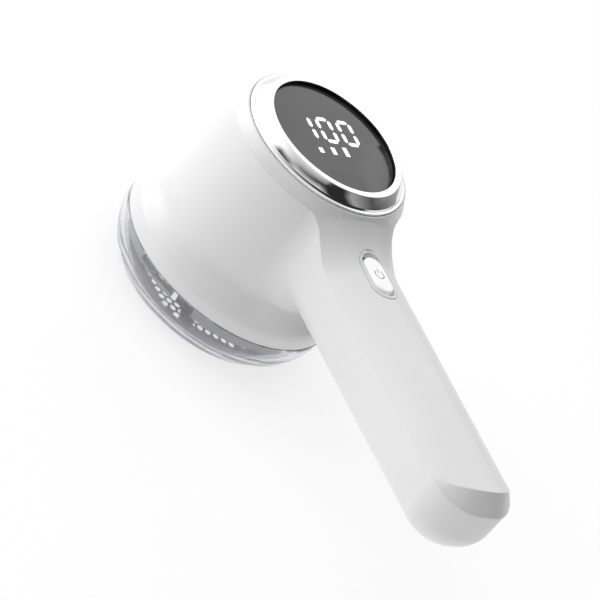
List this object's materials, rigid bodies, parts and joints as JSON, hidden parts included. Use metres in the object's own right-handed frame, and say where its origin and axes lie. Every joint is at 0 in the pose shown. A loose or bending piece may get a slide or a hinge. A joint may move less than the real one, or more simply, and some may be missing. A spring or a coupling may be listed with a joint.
{
  "type": "fabric shaver",
  "caption": "Cordless fabric shaver with a bell-shaped cutting head, round display, clear twist-off guard and a straight handle with a push button.",
  "frame": {"origin": "under the middle of the whole shaver, on the plane of the clear guard's rim, which it stands on", "axes": "+X from the head along the handle, +Z from the cutting face towards the display, +Y to the right of the digits as they are read"},
  "size_m": [0.1784, 0.078, 0.0736],
  "materials": {
    "white_gloss": "smooth injection moulded",
    "icon_grey": "inlaid paint",
    "chrome": "bright plated",
    "lens_smoked": "smoked acrylic",
    "lit_white": "lit",
    "soft_black": "soft",
    "white_matte": "moulded",
    "led_yellow": "moulded",
    "board_green": "solder mask",
    "screw_steel": "plated",
    "flat_cable": "laminated",
    "part_black": "moulded",
    "cell_wrap": "shrink wrap",
    "nickel": "nickel plated",
    "lead_red": "lead insulation",
    "deck_grey": "moulded",
    "clear_tint": "clear moulding",
    "foil_steel": "perforated",
    "blade_steel": "ground",
    "hub_black": "moulded",
    "can_steel": "zinc plated",
    "bronze": "bronze and copper",
    "core_iron": "laminated"
  },
  "bodies": {
    "housing": {"main_shell": "white_gloss", "handle_cover": "white_gloss", "cover_screws": "screw_steel", "chrome_ring": "chrome", "display_lens": "lens_smoked", "display_segments": "lit_white", "lens_gasket": "soft_black", "display_reflector": "white_matte", "display_leds": "led_yellow", "display_board": "board_green", "display_tray": "white_matte", "display_screws": "screw_steel", "display_ribbon": "flat_cable", "button_frame": "white_gloss", "tact_switch": "part_black", "control_board": "board_green", "board_parts": "part_black", "board_screws": "screw_steel", "battery_cell": "cell_wrap", "battery_cradle": "white_matte", "battery_tabs": "nickel", "battery_leads": "lead_red", "motor_leads": "lead_red", "port_leads": "lead_red", "usb_port": "nickel", "port_tongue": "part_black", "port_board": "board_green", "chamber_deck": "deck_grey", "deck_seal": "soft_black", "deck_screws": "screw_steel", "shaft_seal": "soft_black", "motor_can": "can_steel", "motor_bushes": "bronze", "motor_end_cap": "hub_black", "motor_terminals": "nickel", "motor_brushes": "bronze", "motor_magnets": "core_iron", "motor_sleeve": "soft_black", "motor_damper": "soft_black", "motor_screws": "screw_steel"},
    "rotor": {"motor_shaft": "can_steel", "armature_core": "core_iron", "armature_windings": "bronze", "commutator": "bronze", "drive_coupling": "hub_black"},
    "cutter": {"cutter_hub": "hub_black", "cutter_blades": "blade_steel", "cutter_rivets": "blade_steel", "cutter_spring": "blade_steel"},
    "button": {"power_button": "white_gloss", "power_icon": "icon_grey", "switch_plunger": "part_black"},
    "cutter_cover": {"clear_guard": "clear_tint", "foil_ring": "foil_steel", "cutting_foil": "foil_steel"}
  },
  "joints": [
    {"name": "rotor_spin", "type": "hinge", "parent": "housing", "child": "rotor", "pos_m": [-0.0502, 0, 0.03], "axis": [0, 0, 1], "continuous": true},
    {"name": "cutter_float", "type": "slide", "parent": "rotor", "child": "cutter", "axis": [0, 0, 1], "range_m": [0, 0.0012], "stiffness_N_per_m": 300, "springref_m": -0.002, "deforming": ["cutter_spring"]},
    {"name": "button_press", "type": "slide", "parent": "housing", "child": "button", "axis": [0, 0, -1], "range_m": [0, 0.00035], "stiffness_N_per_m": 2000, "springref_m": -0.0003},
    {"name": "cover_twist", "type": "hinge", "parent": "housing", "child": "cutter_cover", "pos_m": [-0.0502, 0, 0.01], "axis": [0, 0, 1], "range_deg": [0, 25]}
  ]
}
